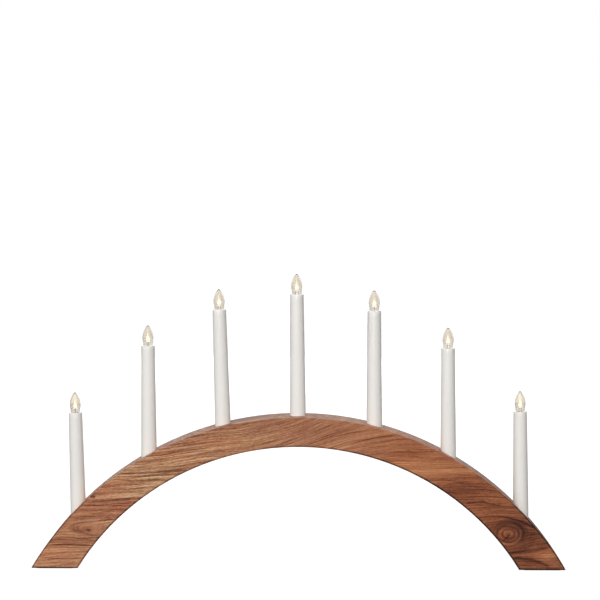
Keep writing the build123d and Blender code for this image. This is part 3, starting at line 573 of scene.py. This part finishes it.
def curve_piece(name, pts, radius, mat, pos, axis):
    """A round wire along points in mm, in the candle's own frame."""
    rot = Vector((0, 0, 1)).rotation_difference(axis).to_matrix()
    cu = bpy.data.curves.new(name, "CURVE")
    cu.dimensions = "3D"
    cu.bevel_depth = radius / 1000
    cu.bevel_resolution = 4
    cu.use_fill_caps = True
    sp = cu.splines.new("POLY")
    sp.points.add(len(pts) - 1)
    for q, (a, b, c) in zip(sp.points, pts):
        v = pos + rot @ Vector((a / 1000, b / 1000, c / 1000))
        q.co = (v.x, v.y, v.z, 1)
    obj = bpy.data.objects.new(name, cu)
    scene.collection.objects.link(obj)
    obj.data.materials.append(mat)
    return obj


LED_TURN = (80.0, 70.0, 0.0, 10.0, 90.0, 35.0, -5.0)  # how each bulb's leads are turned, degrees
unscrew = {j["child"]: j for j in frame["joints"] if j["name"].endswith("_unscrew")}
for k in range(1, 8):
    j = unscrew[f"bulb_{k}"]
    pos, axis = Vector(j["pos_m"]), Vector(j["axis"]).normalized()

    sleeve = lathe(f"sleeve_{k}", sleeve_loop(), 96, SLEEVE, pos, axis)
    sleeve.data.materials.append(MOUTH_GLOW)
    # the faces from the inner side of the rim on get the mouth material with the strong painted glow
    for i, face in enumerate(sleeve.data.polygons):
        face.material_index = 1 if i // 96 >= 34 else 0  # from the inner side of the rim on
    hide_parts(f"candle_sleeve_{k}")
    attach(sleeve, "arch")

    glass = lathe(f"envelope_{k}", envelope(1.0) + envelope(0.0)[::-1], 80, GLASS, pos, axis)
    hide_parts(f"bulb_{k}_glass")
    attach(glass, f"bulb_{k}")

    lens = lathe(f"led_{k}", [(0, 4.6), (2.65, 4.6), (2.8, 4.75), (2.8, 5.35), (2.65, 5.5), (2.46, 5.53), (2.4, 5.65), (2.4, 7.2), (2.4, 8.1)]
                 + arc(0, 8.9, 2.4, 0, 90, 10)[:-1] + [(0, 11.3)], 48, LED, pos, axis, closed=False)
    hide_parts(f"bulb_{k}_led")
    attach(lens, f"bulb_{k}")
    core = lathe(f"led_{k}_die", [(0, 5.3), (0.85, 5.3), (1.05, 5.9), (1.22, 6.6), (1.2, 7.4), (1.08, 8.4), (0.86, 9.4), (0.55, 10.3), (0.25, 10.8), (0, 10.95)],
                 32, LED_CORE, pos, axis, closed=False)
    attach(core, f"bulb_{k}")
    turn = math.radians(LED_TURN[k - 1])
    for side, sx in (("a", -1), ("b", 1)):
        lx, ly = 1.27 * sx * math.cos(turn), 1.27 * sx * math.sin(turn)
        lead = curve_piece(f"led_{k}_lead_{side}", [(lx, ly, 4.7), (lx, ly, 1.0), (lx, ly, -13.4)], 0.3, LEAD, pos, axis)
        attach(lead, f"bulb_{k}")

# ------------------------------------------------------------------ floor, world and lights
me = bpy.data.meshes.new("floor")
me.from_pydata([(-30, -30, 0), (30, -30, 0), (30, 30, 0), (-30, 30, 0)], [], [(0, 1, 2, 3)])
floor = bpy.data.objects.new("floor", me)
scene.collection.objects.link(floor)
f = Mat("floor_white")
fp, fx, fy, fz = f.coords_mm()
fn = f.noise(fp, scale=0.02, detail=3.0)
f_path = f.n("LightPath")
f_seen = f.m("MAXIMUM", f_path.outputs["Is Camera Ray"], f.mul(f.m("GREATER_THAN", f_path.outputs["Transmission Depth"], 0.5), f.add(f.mul(f.step(f.m("ABSOLUTE", fy), 150.0, 500.0), 0.54), f.mul(f.step(f.m("ABSOLUTE", fy), 1900.0, 2800.0), 0.13))))
f.principled(**{
    "Base Color": f.mix(fn, (0.17, 0.17, 0.17), (0.20, 0.20, 0.20)), "Roughness": 0.9, "Specular IOR Level": 0.0,
    "Emission Color": (1, 1, 1, 1), "Emission Strength": f.mul(f_seen, 0.95),
})
paint(floor, f.mat)

world = bpy.data.worlds.new("studio")
scene.world = world
world.use_nodes = True
wt = world.node_tree
wt.nodes.clear()
wo = wt.nodes.new("ShaderNodeOutputWorld")
tc = wt.nodes.new("ShaderNodeTexCoord")
sep = wt.nodes.new("ShaderNodeSeparateXYZ")
wt.links.new(tc.outputs["Generated"], sep.inputs[0])


def wmath(op, a, b=None):
    node = wt.nodes.new("ShaderNodeMath")
    node.operation = op
    for i, v in enumerate((a, b)):
        if isinstance(v, bpy.types.NodeSocket):
            wt.links.new(v, node.inputs[i])
        elif v is not None:
            node.inputs[i].default_value = v
    return node.outputs[0]


def wstep(v, lo, hi):
    node = wt.nodes.new("ShaderNodeMapRange")
    node.interpolation_type = "SMOOTHSTEP"
    wt.links.new(v, node.inputs["Value"])
    node.inputs["From Min"].default_value = lo
    node.inputs["From Max"].default_value = hi
    return node.outputs[0]


# a broad soft front, wider to the left; dark far to the right and behind, half as bright overhead
azimuth = wmath("ARCTAN2", sep.outputs[0], wmath("MULTIPLY", sep.outputs[1], -1.0))
front = wmath("MULTIPLY", wstep(azimuth, -1.75, -1.15), wmath("SUBTRACT", 1.0, wstep(azimuth, 0.64, 1.18)))
front = wmath("MULTIPLY", front, wmath("SUBTRACT", 1.0, wmath("MULTIPLY", wstep(sep.outputs[2], 0.75, 1.0), 0.5)))
behind = wmath("MULTIPLY", wstep(sep.outputs[1], 0.78, 0.94), wmath("SUBTRACT", 1.0, wstep(sep.outputs[2], 0.35, 0.60)))
soft = wmath("ADD", wmath("ADD", wmath("MULTIPLY", front, 1.50), wmath("MULTIPLY", behind, 0.62)), 0.10)
bg = wt.nodes.new("ShaderNodeBackground")
bg.inputs[0].default_value = (1, 1, 1, 1)
wt.links.new(soft, bg.inputs[1])
seen = wt.nodes.new("ShaderNodeBackground")
seen.inputs[0].default_value = (1, 1, 1, 1)
seen.inputs[1].default_value = 1.0
lp = wt.nodes.new("ShaderNodeLightPath")
either = wt.nodes.new("ShaderNodeMath")
either.operation = "MAXIMUM"
wt.links.new(lp.outputs["Is Camera Ray"], either.inputs[0])
through = wt.nodes.new("ShaderNodeMath")
through.operation = "GREATER_THAN"
through.inputs[1].default_value = 0.5
wt.links.new(lp.outputs["Transmission Depth"], through.inputs[0])
wt.links.new(wmath("MULTIPLY", through.outputs[0], wstep(sep.outputs[1], 0.30, 0.80)), either.inputs[1])
mx = wt.nodes.new("ShaderNodeMixShader")
wt.links.new(either.outputs[0], mx.inputs[0])
wt.links.new(bg.outputs[0], mx.inputs[1])
wt.links.new(seen.outputs[0], mx.inputs[2])
wt.links.new(mx.outputs[0], wo.inputs[0])


def softbox(name, place, target, size, power, colour=(1, 1, 1)):
    li = bpy.data.lights.new(name, "AREA")
    li.shape = "RECTANGLE"
    li.size, li.size_y = size
    li.energy = power
    li.color = colour
    ob = bpy.data.objects.new(name, li)
    ob.location = place
    ob.rotation_euler = (Vector(target) - Vector(place)).to_track_quat("-Z", "Y").to_euler()
    scene.collection.objects.link(ob)
    return ob


softbox("key", (-0.41, -2.60, 1.64), (0, 0, 0.30), (0.75, 3.1), 21.0)
softbox("back_top", (0.35, 1.7, 1.35), (0, 0, 0.15), (3.6, 0.9), 10.5).visible_transmission = False
fill = softbox("back_fill", (0.2, 2.6, 0.55), (0, 0, 0.15), (2.6, 0.9), 42.0)
fill.visible_glossy = fill.visible_transmission = fill.visible_camera = False
softbox("strip", (-0.31, -1.98, 0.46), (0, 0, 0.46), (0.30, 0.86), 4.4)
